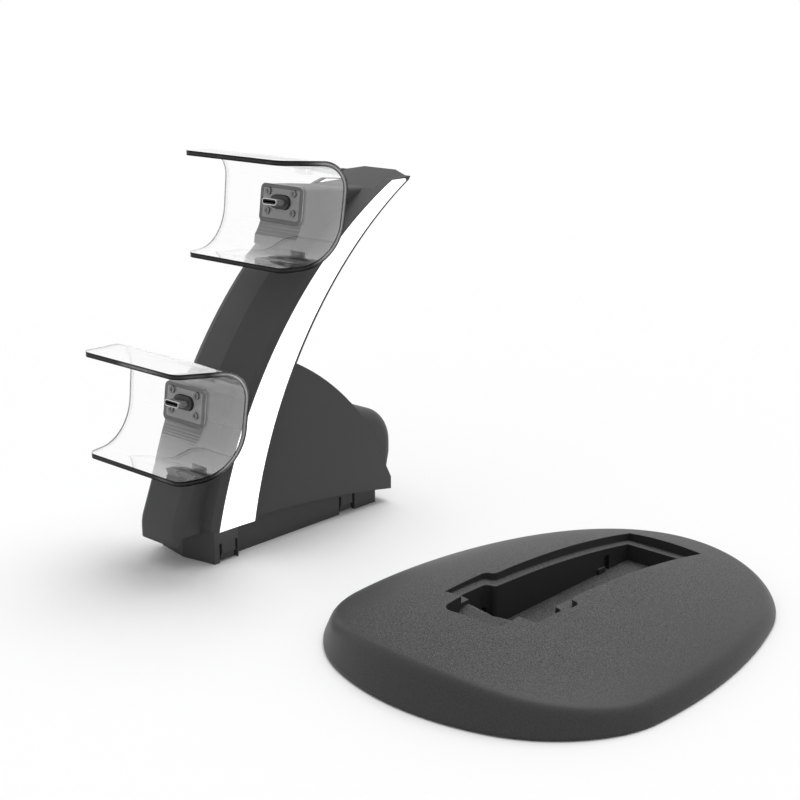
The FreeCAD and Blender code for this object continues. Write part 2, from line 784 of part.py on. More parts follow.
def make_column():
    column = across(lambda x: column_loop(x, 0.0), HOUSING_HALF)

    def on_front(edge):
        middle = middle_of(edge)
        on_side = abs(abs(middle.x) - HOUSING_HALF) < 0.01 and edge.BoundBox.XLength < 0.01
        chin = middle.y < COLUMN_FRONT_Y + 0.1 and middle.z > COLUMN_FOOT_Z + 1
        shin = middle.z > COLUMN_KNEE_Z - 1 and middle.y < FRONT.y(middle.z) - RIDGE_STAND
        return on_side and (chin or shin)

    return column.makeFillet(COLUMN_EDGE_RADIUS, edges_where(column, on_front))


def make_boss():
    boss = across(lambda x: boss_loop(x, 0.0), HOUSING_HALF)

    def on_top_side(edge):
        middle = middle_of(edge)
        on_side = abs(abs(middle.x) - HOUSING_HALF) < 0.01 and edge.BoundBox.XLength < 0.01
        return on_side and middle.z > FRONT_PLATE_TOP_Z and middle.y < FRONT.y(FRONT_PLATE_TOP_Z)

    return boss.makeFillet(BOSS_EDGE_RADIUS, edges_where(boss, on_top_side))


def moved(shape, x=0.0, y=0.0, z=0.0):
    copy = shape.copy()
    copy.translate(Vector(x, y, z))
    return copy


def on_lower(shape):
    return moved(shape, 0, CRADLE_LOWER_Y, CRADLE_LOWER_Z)


def on_upper(shape):
    return moved(shape, 0, CRADLE_UPPER_Y, CRADLE_UPPER_Z)


def tower_rooms():
    """The hollow inside the tower's walls, as overlapping solids."""
    inner_half = PANEL_HALF - WALL
    front_wall = WALL + 0.2
    high = FRONT_PLATE_TOP_Z - WALL - CAP_EDGE
    slices = []
    for x in (0.0, inner_half):
        shifts = (ridge_shift(x) + front_wall, RIM_LIP - WALL)
        slices.append(Part.Wire(band(x, shifts, LOW_Z, high)))
    arm = both_sides(Part.makeLoft(slices, True, True))
    rear = across(lambda x: hump_edges(x, WALL, -5.0), inner_half)
    lobe = rounded_across(lobe_corners(WALL), LOBE_HALF - WALL)

    def on_back_corner(edge):
        middle = middle_of(edge)
        on_side = abs(abs(middle.x) - LOBE_HALF + WALL) < 0.01 and edge.BoundBox.XLength < 0.01
        return on_side and middle.y > LOBE_BACK_Y - 12 and middle.z > REAR_FLANGE_TOP_Z + WALL + 0.5

    lobe = lobe.makeChamfer(LOBE_EDGE_RADIUS / 2, edges_where(lobe, on_back_corner))
    rooms = [above_arch(piece, WALL) for piece in arm + [rear, lobe]]
    column = across(lambda x: column_loop(x, WALL), HOUSING_HALF - WALL)
    boss = across(lambda x: boss_loop(x, WALL), HOUSING_HALF - WALL)
    rooms.append(column.cut(on_lower(cradle_envelope(SHEET + WALL))))
    rooms.append(boss.cut(on_upper(cradle_envelope(SHEET + WALL))))
    return rooms


def rear_region():
    """The share of the tower that belongs to the rear shell."""
    low = -5.0
    high = 155.0

    def loop(x):
        front_low = Vector(x, BACK.y(low) - SPLIT_AHEAD, low)
        front_high = Vector(x, BACK.y(high) - SPLIT_AHEAD, high)
        back_high = Vector(x, 150, high)
        back_low = Vector(x, 150, low)
        return [
            BACK.edge(x, low, high, -SPLIT_AHEAD),
            line(front_high, back_high),
            line(back_high, back_low),
            line(back_low, front_low),
        ]

    cap_z = FRONT_PLATE_TOP_Z - CAP_EDGE
    tip_y = FRONT.y(FRONT_PLATE_TOP_Z) + ridge_shift(0)
    side_y = FRONT.y(FRONT_PLATE_TOP_Z) - RIM_STAND
    cap_plan = (
        (0, tip_y, 0),
        (RIM_INNER_HALF, side_y, 0),
        (RIM_INNER_HALF, 150, 0),
        (-RIM_INNER_HALF, 150, 0),
        (-RIM_INNER_HALF, side_y, 0),
    )
    return across(loop, ARM_HALF + 10).fuse(rounded_up(cap_plan, cap_z, high))


def strip_block(x0, x1, grow, radius):
    """Block between the strip's two curves, with a rounded tip; a dark rim is left behind it."""
    high = STRIP_TOP_Z + grow
    loop = band(x0, (-grow, grow - STRIP_BACK_INSET), LOW_Z, high)
    block = prism(loop, Vector(x1 - x0, 0, 0))

    def at_tip(edge):
        middle = middle_of(edge)
        return edge.BoundBox.XLength > 1 and middle.z > high - 0.1 and middle.y > BACK.y(high) - 2

    return block.makeFillet(radius, edges_where(block, at_tip))


def led_board_block(x0, x1, grow):
    low = LED_BOARD_LOW_Z - grow
    high = LED_BOARD_HIGH_Z + grow
    front_shift = -LED_BOARD_BEHIND - grow
    back_shift = -LED_BOARD_BEHIND + LED_BOARD_WIDTH + grow
    loop = [
        BACK.edge(x0, low, high, front_shift),
        line(Vector(x0, BACK.y(high) + front_shift, high), Vector(x0, BACK.y(high) + back_shift, high)),
        BACK.edge(x0, high, low, back_shift),
        line(Vector(x0, BACK.y(low) + back_shift, low), Vector(x0, BACK.y(low) + front_shift, low)),
    ]
    return prism(loop, Vector(x1 - x0, 0, 0))


def make_lights():
    """The strip and its board on the +X side, and the pocket that the strip lies in."""
    pocket = strip_block(PANEL_HALF, ARM_HALF + 2, STRIP_GAP, STRIP_TIP_RADIUS)
    strip = above_arch(strip_block(PANEL_HALF, ARM_HALF, 0.0, STRIP_TIP_RADIUS))
    board_x = PANEL_HALF + LED_BOARD_THICK
    strip = strip.cut(led_board_block(PANEL_HALF, board_x + LED_BOARD_GAP / 2, LED_BOARD_GAP))
    board = led_board_block(PANEL_HALF, board_x, 0.0)
    return strip, board, pocket


def power_socket_z():
    return BOARD_Z + BOARD_THICK + SOCKET_HEIGHT / 2


def make_tower_shells(pocket):
    arm = above_arch(make_arm())
    for side in both_sides(pocket):
        arm = arm.cut(side)
    rear = above_arch(make_rear())
    column = make_column().cut(on_lower(cradle_envelope(SHEET)))
    boss = make_boss().cut(on_upper(cradle_envelope(SHEET)))
    body = fuse_all([arm, rear, column, boss])
    body = body.cut(tower_rooms())
    posts = []
    for x, y in FOOT_SCREW_POINTS:
        low = arch_z(y) + 0.5
        posts.extend(both_sides(upright(x, y, low, low + 0.5 + WALL + FOOT_SCREW_GRIP, FOOT_POST_RADIUS)))
    for x, y in BOARD_POST_POINTS:
        posts.extend(both_sides(upright(x, y, arch_z(y) + 1.2, BOARD_Z, BOARD_POST_RADIUS)))
    body = fuse_all([body] + posts)
    cutters = []
    for place in (on_lower, on_upper):
        cutters.extend([place(cutter) for cutter in connector_openings()])
    for x, y in FOOT_SCREW_POINTS:
        top = arch_z(y) + WALL + FOOT_SCREW_GRIP - 1.0
        cutters.extend(both_sides(upright(x, y, 0, top, FOOT_SCREW_SHANK)))
    for x, y in BOARD_POST_POINTS:
        cutters.extend(both_sides(upright(x, y, BOARD_Z - BOARD_SCREW_GRIP, BOARD_Z, BOARD_SCREW_SHANK)))
    socket_z = power_socket_z()
    width = SOCKET_WIDTH + 2 * PLUG_HOLE_GAP
    height = SOCKET_HEIGHT + 2 * PLUG_HOLE_GAP
    hole = stadium(width, height, LOBE_BACK_Y - 8, LOBE_BACK_Y + 3, 0, socket_z)
    width = SOCKET_WIDTH + 2 * SOCKET_RECESS
    height = SOCKET_HEIGHT + 2 * SOCKET_RECESS
    recess = stadium(width, height, LOBE_BACK_Y - SOCKET_INSET, LOBE_BACK_Y + 3, 0, socket_z)
    cutters.extend([hole, recess])
    body = body.cut(cutters)
    region = rear_region()
    return body.cut(region), body.common(region)


def foot_corners(grow):
    """Plan outline of the foot, grown by a clearance for the pocket or shrunk for its hollow."""
    slope = FOOT_TIP_ANGLE_Y / FOOT_WIDE_HALF
    tip_y = -grow * math.hypot(1, slope)
    wide = FOOT_WIDE_HALF + grow
    narrow = FOOT_NARROW_HALF + grow
    step_y = FOOT_WIDE_END_Y + grow
    end_y = FOOT_END_Y + grow
    outer = max(FOOT_STEP_RADIUS + grow, 0.1)
    inner = max(FOOT_STEP_RADIUS - grow, 0.1)
    if outer + inner > FOOT_WIDE_HALF - FOOT_NARROW_HALF:
        outer = FOOT_WIDE_HALF - FOOT_NARROW_HALF - inner - 0.05
    return (
        (0, tip_y, 0),
        (wide, tip_y + slope * wide, 0),
        (wide, step_y, outer),
        (narrow, step_y, inner),
        (narrow, end_y, 0),
        (-narrow, end_y, 0),
        (-narrow, step_y, inner),
        (-wide, step_y, outer),
        (-wide, tip_y + slope * wide, 0),
    )


def tongue_spots():
    """Centre y and outer half-width of each pair of spring tongues."""
    return ((FRONT_TONGUE_Y, FOOT_WIDE_HALF), (REAR_TONGUE_Y, FOOT_NARROW_HALF))


def make_foot():
    outer = rounded_up(foot_corners(0.0), 0, 30).common(arch_tool(-FOOT_SEAT))
    inner = rounded_up(foot_corners(-FOOT_WALL), -1, 30).common(arch_tool(-WALL - FOOT_SEAT))
    foot = outer.cut(inner)
    cutters = []
    for centre_y, half in tongue_spots():
        x0 = half - FOOT_WALL - 0.5
        x1 = half + 0.5
        for side in (-1, 1):
            slot_y = centre_y + side * TONGUE_PITCH / 2
            slot = box(x0, x1, slot_y - TONGUE_SLOT / 2, slot_y + TONGUE_SLOT / 2, -1, TONGUE_SLOT_TOP)
            cutters.extend(both_sides(slot))
        y0 = centre_y - TONGUE_PITCH / 2
        y1 = centre_y + TONGUE_PITCH / 2
        cutters.extend(both_sides(box(x0, x1, y0, y1, -1, TONGUE_LIFT)))
        cutters.extend(both_sides(box(half - TONGUE_STEP, x1, y0, y1, -1, TONGUE_STEP_TOP)))
    for x, y in FOOT_SCREW_POINTS:
        seat_z = arch_z(y) - FOOT_SEAT - WALL + 0.5
        cutters.extend(both_sides(upright(x, y, 0, seat_z, FOOT_SCREW_HEAD + SCREW_HEAD_GAP)))
        cutters.extend(both_sides(upright(x, y, 0, 30, FOOT_SCREW_SHANK + SCREW_HOLE_GAP)))
    return foot.cut(cutters)


def pan_screw(x, y, seat_z, up, shank, head, head_thick, grip):
    """Screw with its head under a seat (up) or on it (down), with a crossed recess."""
    turn = 1 if up else -1
    head_far = seat_z - turn * head_thick
    tip = seat_z + turn * grip
    body = upright(x, y, min(head_far, seat_z), max(head_far, seat_z), head)
    body = body.fuse(upright(x, y, min(tip, seat_z), max(tip, seat_z), shank))
    low = min(head_far, head_far + turn * SCREW_RECESS)
    high = low + SCREW_RECESS
    arm = head * RECESS_SHARE
    thin = SCREW_RECESS / 2
    recess = box(x - arm, x + arm, y - thin, y + thin, low, high)
    recess = recess.fuse(box(x - thin, x + thin, y - arm, y + arm, low, high))
    return body.cut(recess).removeSplitter()


def make_foot_screws():
    screws = []
    for x, y in FOOT_SCREW_POINTS:
        seat_z = arch_z(y) - FOOT_SEAT - WALL + 0.5
        for side in (-1, 1):
            screws.append(pan_screw(
                side * x, y, seat_z, True, FOOT_SCREW_SHANK, FOOT_SCREW_HEAD, FOOT_SCREW_HEAD_THICK,
                WALL + FOOT_SCREW_GRIP - 1.0,
            ))
    return Part.Compound(screws)


def make_main_board():
    board = box(-BOARD_HALF, BOARD_HALF, BOARD_FRONT_Y, BOARD_BACK_Y, BOARD_Z, BOARD_Z + BOARD_THICK)
    holes = []
    screws = []
    top = BOARD_Z + BOARD_THICK
    for x, y in BOARD_POST_POINTS:
        for side in (-1, 1):
            holes.append(upright(side * x, y, BOARD_Z - 1, top + 1, BOARD_SCREW_SHANK + SCREW_HOLE_GAP))
            screws.append(pan_screw(
                side * x, y, top, False, BOARD_SCREW_SHANK, BOARD_SCREW_HEAD, BOARD_SCREW_HEAD_THICK,
                BOARD_THICK + BOARD_SCREW_GRIP - 0.5,
            ))
    chips = [box(x0, x1, y0, y1, top, top + height) for x0, x1, y0, y1, height in CHIPS]
    header = box(-HEADER_HALF, HEADER_HALF, HEADER_FRONT_Y, HEADER_BACK_Y, top, top + HEADER_HEIGHT)
    inside = HEADER_HALF - HEADER_WALL
    low = top + HEADER_WALL
    high = top + HEADER_HEIGHT - HEADER_WALL
    mouth = box(-inside, inside, HEADER_FRONT_Y - 1, HEADER_BACK_Y - HEADER_WALL, low, high)
    chips.append(header.cut(mouth))
    return board.cut(holes), Part.Compound(screws), Part.Compound(chips)


def make_power_socket():
    z = power_socket_z()
    mouth_y = LOBE_BACK_Y - SOCKET_INSET
    back_y = mouth_y - SOCKET_DEPTH
    inner_width = SOCKET_WIDTH - 2 * SOCKET_SKIN
    inner_height = SOCKET_HEIGHT - 2 * SOCKET_SKIN
    shell = stadium(SOCKET_WIDTH, SOCKET_HEIGHT, back_y, mouth_y, 0, z)
    shell = shell.cut(stadium(inner_width, inner_height, back_y + SOCKET_SKIN, mouth_y + 1, 0, z))
    block_end = back_y + SOCKET_BLOCK
    block = stadium(inner_width, inner_height, back_y + SOCKET_SKIN, block_end, 0, z)
    width = inner_width - 2 * SOCKET_INSET
    tongue = stadium(width, TONGUE_THICK, block_end - PAST, mouth_y - SOCKET_INSET, 0, z)
    return shell, block.fuse(tongue).removeSplitter()


def outline_arcs(inset=0.0, shift=0.0):
    """Arcs of one side, moved in by inset and back by shift: centre x and y, radius, start and end."""
    arcs = []
    x = 0.0
    y = OUTLINE_TIP_Y + inset + shift
    start = 0.0
    for radius, degrees in OUTLINE_ARCS:
        end = math.radians(degrees)
        bend = radius - inset
        centre_x = x - bend * math.sin(start)
        centre_y = y + bend * math.cos(start)
        arcs.append((centre_x, centre_y, bend, start, end))
        x = centre_x + bend * math.sin(end)
        y = centre_y - bend * math.cos(end)
        start = end
    last = x / math.sin(start)
    arcs.append((0.0, y + last * math.cos(start), last, start, math.pi))
    return arcs


def outline_wire(z, inset=0.0, shift=0.0):
    """Closed loop of the arcs of both sides."""
    arcs = outline_arcs(inset, shift)

    def spot(piece, heading, side=1):
        centre_x, centre_y, radius = piece[:3]
        x = centre_x + radius * math.sin(heading)
        y = centre_y - radius * math.cos(heading)
        return Vector(side * x, y, z)

    def drawn(piece, side):
        start, end = piece[3:]
        middle = (start + end) / 2
        return arc(spot(piece, start, side), spot(piece, middle, side), spot(piece, end, side))

    front = arcs[0]
    back = arcs[-1]
    tip = arc(spot(front, front[4], -1), spot(front, 0.0), spot(front, front[4]))
    tail = arc(spot(back, back[3]), spot(back, math.pi), spot(back, back[3], -1))
    right = [drawn(piece, 1) for piece in arcs[1:-1]]
    left = [drawn(piece, -1) for piece in reversed(arcs[1:-1])]
    return Part.Wire([tip] + right + [tail] + left)


def outline_extents():
    """Front y, back y and half-width of the base."""
    arcs = outline_arcs()
    back = arcs[-1]
    widest = next(piece for piece in arcs if piece[4] > math.pi / 2)
    return OUTLINE_TIP_Y, back[1] + back[2], widest[0] + widest[2]


def outline_block(z0, z1, inset=0.0):
    return Part.Face(outline_wire(z0, inset)).extrude(Vector(0, 0, z1 - z0))


def leaning_block(inset=0.0):
    """Side wall of the base: upright at the bottom, then leaning in all round."""
    low = outline_block(BASE_SKIRT_Z, BASE_SKIRT_TOP, inset)
    top = outline_wire(BASE_LEAN_TOP, inset + BASE_LEAN, BASE_LEAN_BACK)
    return low, Part.makeLoft([outline_wire(BASE_SKIRT_TOP, inset), top], True, True)


def crown_rib(drop, flats):
    """Cross section under the crown: its top is one arc, or that many flats inside the arc."""
    half = CROWN_HALF
    cross = CROWN_CROSS_RADIUS - drop
    top_z = CROWN_TOP_Z - drop

    def on_top(x):
        return Vector(x, CROWN_TOP_Y, top_z - cross + math.sqrt(cross ** 2 - x ** 2))

    left = on_top(-half)
    right = on_top(half)
    low_left = Vector(-half, CROWN_TOP_Y, top_z - CROWN_DEPTH)
    low_right = Vector(half, CROWN_TOP_Y, top_z - CROWN_DEPTH)
    edges = [line(right, low_right), line(low_right, low_left), line(low_left, left)]
    if flats == 0:
        edges.insert(0, arc(left, on_top(0.0), right))
    for step in range(flats):
        start = half * (2 * step / flats - 1)
        end = half * (2 * (step + 1) / flats - 1)
        edges.insert(step, line(on_top(start), on_top(end)))
    return Part.Face(Part.Wire(edges))


def crown(drop, flats=0):
    """The bowed top: one cross section swept back along a long arc and forward along a tighter one."""
    long_centre = Vector(0, CROWN_TOP_Y, CROWN_TOP_Z - CROWN_LONG_RADIUS)
    along_x = Vector(1, 0, 0)
    turn = math.degrees(math.asin((CROWN_TOP_Y - CROWN_FRONT_Y) / CROWN_LONG_RADIUS))
    start = crown_rib(drop, flats).rotate(long_centre, along_x, turn)
    back = start.revolve(long_centre, along_x, -turn - CROWN_BACK_SWEEP)
    angle = math.radians(turn)
    joint = long_centre + Vector(0, -math.sin(angle), math.cos(angle)) * CROWN_LONG_RADIUS
    front_centre = joint - Vector(0, -math.sin(angle), math.cos(angle)) * CROWN_FRONT_RADIUS
    front = start.revolve(front_centre, along_x, CROWN_FRONT_SWEEP)
    return back.fuse(front)


def seat_corners(grow):
    """Plan outline of the shallow seat that takes the underside of the tower."""
    wide = ARM_HALF + POCKET_CLEARANCE + grow
    narrow = PANEL_HALF + SEAT_GAP + grow
    step_y = SEAT_WIDE_END_Y + grow
    return (
        (0, SEAT_TIP_Y - grow, 0),
        (wide, SEAT_FRONT_Y - grow, 0),
        (wide, step_y, SEAT_CORNER_RADIUS),
        (narrow, step_y, SEAT_CORNER_RADIUS),
        (narrow, SEAT_END_Y + grow, 0),
        (-narrow, SEAT_END_Y + grow, 0),
        (-narrow, step_y, SEAT_CORNER_RADIUS),
        (-wide, step_y, SEAT_CORNER_RADIUS),
        (-wide, SEAT_FRONT_Y - grow, 0),
    )


def lobe_seat():
    """Recess ahead of the pocket for the bottom of the lower housing."""
    half = HOUSING_HALF + SEAT_GAP
    front_y = LOBE_SEAT_FRONT_Y
    plan = (
        (-half, front_y, COLUMN_EDGE_RADIUS),
        (half, front_y, COLUMN_EDGE_RADIUS),
        (half, 4.0, 0),
        (-half, 4.0, 0),
    )
    side = (
        (front_y - 1.0, LOBE_SEAT_FRONT_Z - 0.1, 0),
        (front_y + LOBE_SEAT_STEP, LOBE_SEAT_FRONT_Z + LOBE_SEAT_RISE, 0),
        (0.0, LOBE_SEAT_BACK_Z, 0),
        (5.0, LOBE_SEAT_BACK_Z, 0),
        (5.0, 40.0, 0),
        (front_y - 1.0, 40.0, 0),
    )
    return rounded_up(plan, 0, 40).common(rounded_across(side, half + 2))


def rim_edges(top, walls):
    """Edges where the crowned top meets the leaning side wall."""

    def on_rim(edge):
        middle = middle_of(edge)
        if middle.z < BASE_SKIRT_TOP + 1:
            return False
        spot = Part.Vertex(middle)
        touches_wall = any(face.distToShape(spot)[0] < 0.01 for face in walls)
        runs_round = edge.BoundBox.DiagonalLength > 1.2 * edge.BoundBox.ZLength
        return touches_wall and runs_round

    return edges_where(top, on_rim)


def make_base_body():
    low, high = leaning_block()
    walls = [face for face in high.Faces if face.BoundBox.ZLength > 5]
    top = high.common(crown(0.0))
    top = top.makeFillet(BASE_EDGE_RADIUS, rim_edges(top, walls))
    return top.fuse(low).removeSplitter()


def base_room():
    """The hollow under the base's top, outside the walls round the pocket."""
    low, high = leaning_block(BASE_SIDE_WALL)
    room = low.fuse(high).common(crown(BASE_WALL, CEILING_FLATS))
    core = rounded_up(seat_corners(WALL), -5, 40)
    lobe_core = box(-HOUSING_HALF - 2.5, HOUSING_HALF + 2.5, LOBE_SEAT_FRONT_Y - 2.3, 5, -5, 40)
    return room.cut([core, lobe_core])


def catch_spots():
    """Centre y and wall half-width of each catch in the pocket's sides."""
    return (
        (FRONT_TONGUE_Y, FOOT_WIDE_HALF + POCKET_CLEARANCE),
        (REAR_TONGUE_Y, FOOT_NARROW_HALF + POCKET_CLEARANCE),
    )


def make_base_shell():
    body = make_base_body()
    body = body.cut(base_room())
    posts = []
    for x, y in BASE_SCREW_POINTS:
        posts.extend(both_sides(upright(x, y, POCKET_FLOOR, 30, BASE_POST_RADIUS)))
    ceiling = crown(BASE_WALL / 2, CEILING_FLATS)
    posts = [post.common(ceiling) for post in posts]
    body = body.multiFuse(posts)
    seat = rounded_up(seat_corners(0.0), 0, 40).cut(arch_tool(POCKET_FLOOR))
    pocket = rounded_up(foot_corners(POCKET_CLEARANCE), -5, 40)
    plate_room = outline_block(-1.0, POCKET_FLOOR, PLATE_INSET - SEAT_GAP / 2)
    cutters = [seat, pocket, lobe_seat(), plate_room]
    for x, y in BASE_SCREW_POINTS:
        cutters.extend(both_sides(upright(x, y, 0, POCKET_FLOOR + BASE_HOLE_DEPTH, BASE_SCREW_SHANK)))
    for centre_y, half in catch_spots():
        notch_y = centre_y + CATCH_LONG / 2
        notch_top = POCKET_FLOOR + NOTCH_HEIGHT
        notch = box(half - 1, half + NOTCH_DEEP, notch_y, notch_y + NOTCH_LONG, 0, notch_top)
        cutters.extend(both_sides(notch))
    body = body.cut(cutters)
    catches = []
    for centre_y, half in catch_spots():
        y0 = centre_y - CATCH_LONG / 2
        y1 = y0 + CATCH_LONG
        top = POCKET_FLOOR + CATCH_HEIGHT
        catches.extend(both_sides(box(half - CATCH_PROUD, half + 1.0, y0, y1, POCKET_FLOOR, top)))
    return body.multiFuse(catches).removeSplitter()


def make_base_plate():
    plate_low = POCKET_FLOOR - PLATE_THICK
    plate = outline_block(plate_low, POCKET_FLOOR, PLATE_INSET)
    cutters = []
    for x, y in BASE_SCREW_POINTS:
        cutters.extend(both_sides(upright(x, y, -1, 10, BASE_SCREW_SHANK + SCREW_HOLE_GAP)))
        head_room = BASE_SCREW_HEAD + SCREW_HEAD_GAP
        cutters.extend(both_sides(upright(x, y, -1, plate_low + BASE_SCREW_HEAD_THICK, head_room)))
    for x, y in BASE_FOOT_POINTS:
        cutters.extend(both_sides(upright(x, y, -1, plate_low + BASE_FOOT_SUNK, BASE_FOOT_RADIUS + 0.1)))
    return plate.cut(cutters)


def make_base_feet():
    feet = []
    for x, y in BASE_FOOT_POINTS:
        foot = upright(x, y, 0, POCKET_FLOOR - PLATE_THICK + BASE_FOOT_SUNK, BASE_FOOT_RADIUS)
        bottom = [edge for edge in foot.Edges if edge.BoundBox.ZMax < 0.01]
        feet.extend(both_sides(foot.makeChamfer(BASE_FOOT_CHAMFER, bottom)))
    return Part.Compound(feet)


def make_base_screws():
    screws = []
    seat_z = POCKET_FLOOR - PLATE_THICK + BASE_SCREW_HEAD_THICK
    for x, y in BASE_SCREW_POINTS:
        for side in (-1, 1):
            screws.append(pan_screw(
                side * x, y, seat_z, True, BASE_SCREW_SHANK, BASE_SCREW_HEAD,
                BASE_SCREW_HEAD_THICK - SCREW_HEAD_GAP, BASE_SCREW_GRIP,
            ))
    return Part.Compound(screws)


def make_ballast():
    corners = (
        (BALLAST_NEAR_X, BALLAST_FRONT_Y, BALLAST_CORNER_RADIUS),
        (BALLAST_FAR_X, BALLAST_FRONT_Y, BALLAST_CORNER_RADIUS),
        (BALLAST_FAR_X, BALLAST_BACK_Y, BALLAST_CORNER_RADIUS),
        (BALLAST_NEAR_X, BALLAST_BACK_Y, BALLAST_CORNER_RADIUS),
    )
    return Part.Compound(both_sides(rounded_up(corners, POCKET_FLOOR, POCKET_FLOOR + BALLAST_THICK)))


def make_tower():
    strip, led_board, pocket = make_lights()
    front, rear = make_tower_shells(pocket)
    board, board_screws, board_parts = make_main_board()
    socket, socket_tongue = make_power_socket()
    pieces = {
        "tower_front_shell": front,
        "tower_rear_shell": rear,
        "light_strip_right": strip,
        "light_strip_left": mirror_x(strip),
        "led_board_right": led_board,
        "led_board_left": mirror_x(led_board),
        "tower_foot": make_foot(),
        "foot_screws": make_foot_screws(),
        "main_board": board,
        "main_board_screws": board_screws,
        "main_board_parts": board_parts,
        "power_socket": socket,
        "power_socket_tongue": socket_tongue,
    }
    connector = make_connector()
    for name, shape in connector.items():
        pieces["lower_" + name] = on_lower(shape)
        pieces["upper_" + name] = on_upper(shape)
    return pieces


def make_base():
    return {
        "base_shell": make_base_shell(),
        "base_plate": make_base_plate(),
        "base_ballast": make_ballast(),
        "base_feet": make_base_feet(),
        "base_screws": make_base_screws(),
    }


def placements():
    """Where the foot tip and the pocket tip go, so that the whole stands centred on the origin."""
    front_y, back_y, side_x = outline_extents()
    base_y = -(front_y + back_y) / 2
    tower_x = -(STAND_APART_X + side_x - CRADLE_BACK_HALF) / 2
    return (tower_x, base_y - STAND_APART_Y), (tower_x + STAND_APART_X, base_y)


def export(shape, name, spot):
    placed = moved(shape, spot[0], spot[1], 0.0)
    solids = placed.Solids
    result = solids[0] if len(solids) == 1 else Part.Compound(solids)
    result.exportStep("parts/" + name + ".step")
    print(name, len(solids), "valid" if result.isValid() else "NOT VALID")


def main():
    os.makedirs("parts", exist_ok=True)
    tower_spot, base_spot = placements()
    for name, shape in make_tower().items():
        export(shape, name, tower_spot)
    for name, shape in make_base().items():
        export(shape, name, base_spot)


main()
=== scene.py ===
# %% [markdown]
# # A charging dock for two controllers
# The dock is photographed in two parts on a white table: a curved tower with two clear cradles, and the
# oval base that the tower's foot plugs into.  Its solids come from the packed model, which is the fixed
# frame for everything below.  This lesson gives each solid its finish, shades the curved ones smooth, sets
# up a white studio and places the camera where the photograph was taken.  Lengths are in metres.

# %% Load the frame, with a helper for the box of one part
import json
import math

import bmesh
import bpy
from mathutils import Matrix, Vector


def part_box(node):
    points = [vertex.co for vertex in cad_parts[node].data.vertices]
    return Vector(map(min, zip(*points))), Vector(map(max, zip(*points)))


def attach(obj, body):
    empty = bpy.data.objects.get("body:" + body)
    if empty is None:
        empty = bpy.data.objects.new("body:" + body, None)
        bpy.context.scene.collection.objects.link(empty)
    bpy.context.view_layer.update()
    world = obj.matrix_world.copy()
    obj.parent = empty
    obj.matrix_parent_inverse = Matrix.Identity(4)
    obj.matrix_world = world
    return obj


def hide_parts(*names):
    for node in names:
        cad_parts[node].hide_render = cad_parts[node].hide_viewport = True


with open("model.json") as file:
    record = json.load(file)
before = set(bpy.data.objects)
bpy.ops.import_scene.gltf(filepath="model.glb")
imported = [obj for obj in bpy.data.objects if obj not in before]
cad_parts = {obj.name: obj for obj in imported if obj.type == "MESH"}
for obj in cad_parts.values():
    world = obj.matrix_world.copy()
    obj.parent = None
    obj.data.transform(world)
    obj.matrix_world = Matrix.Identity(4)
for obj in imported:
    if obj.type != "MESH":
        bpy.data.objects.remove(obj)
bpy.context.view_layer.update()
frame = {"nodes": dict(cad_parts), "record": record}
nodes = frame["nodes"]
print("nodes in the frame:", len(nodes))

# %% [markdown]
# ## Writing shaders as sums
# A surface pattern is easier to read as an expression than as a chain of boxes.  One small class wraps a
# socket, so that `0.3 + 0.2 * grain` adds the Math nodes by itself.  The methods below the operators are
# the three shapes that a pattern is bent into here: a smooth step, a value between two others, and the
# larger of two.

# %% A socket that can be added and multiplied
class Signal:
    """A number that may change over a surface: one socket of one node."""

    def __init__(self, finish, socket):
        self.finish = finish
        self.socket = socket

    def worked(self, operation, first, second):
        made = self.finish.node("ShaderNodeMath", {"operation": operation}, {0: first, 1: second})
        return Signal(self.finish, made.outputs["Value"])

    def __add__(self, other):
        return self.worked("ADD", self, other)

    def __radd__(self, other):
        return self.worked("ADD", other, self)

    def __sub__(self, other):
        return self.worked("SUBTRACT", self, other)

    def __rsub__(self, other):
        return self.worked("SUBTRACT", other, self)

    def __mul__(self, other):
        return self.worked("MULTIPLY", self, other)

    def __rmul__(self, other):
        return self.worked("MULTIPLY", other, self)

    def ramp(self, start, end):
        """0 below start, 1 above end, and a smooth step between them."""
        made = self.finish.node("ShaderNodeMapRange", {"interpolation_type": "SMOOTHSTEP"}, {
            "Value": self,
            "From Min": start,
            "From Max": end,
        })
        return Signal(self.finish, made.outputs["Result"])

    def between(self, low, high):
        """Low where the signal is 0, and high where it is 1."""
        return low + (high - low) * self

    def highest(self, other):
        """The larger of the two signals."""
        return self.worked("MAXIMUM", self, other)


print("a signal can:", ", ".join(name for name in vars(Signal) if not name.startswith("_")))

# %% [markdown]
# ## One method for every other node
# Materials and the world are both trees of nodes, so one class holds either.  Its `node` method takes the
# node's type, then its settings, then what its sockets hold: a number, a colour, or another socket.  The
# settings go first, because they decide which sockets a node has.

# %% A tree of nodes for a finish
class Finish:
    """The node tree of a material, or of the world."""

    def __init__(self, owner, output):
        self.owner = owner
        self.owner.use_nodes = True
        self.tree = self.owner.node_tree
        self.tree.nodes.clear()
        self.output = self.node(output)

    def node(self, kind, settings=None, sockets=None):
        made = self.tree.nodes.new(kind)
        for name, value in (settings or {}).items():
            setattr(made, name, value)
        for name, value in (sockets or {}).items():
            source = value.socket if isinstance(value, Signal) else value
            if isinstance(source, bpy.types.NodeSocket):
                self.tree.links.new(source, made.inputs[name])
            else:
                made.inputs[name].default_value = source
        return made

    def surface(self, shader, volume=None):
        """Plugs the shader into the output, and gives back the finished material."""
        self.tree.links.new(shader.outputs[0], self.output.inputs["Surface"])
        if volume:
            self.tree.links.new(volume.outputs[0], self.output.inputs["Volume"])
        return self.owner


def new_finish(title):
    return Finish(bpy.data.materials.new(title), "ShaderNodeOutputMaterial")


print("a finish can:", ", ".join(name for name in vars(Finish) if not name.startswith("_")))

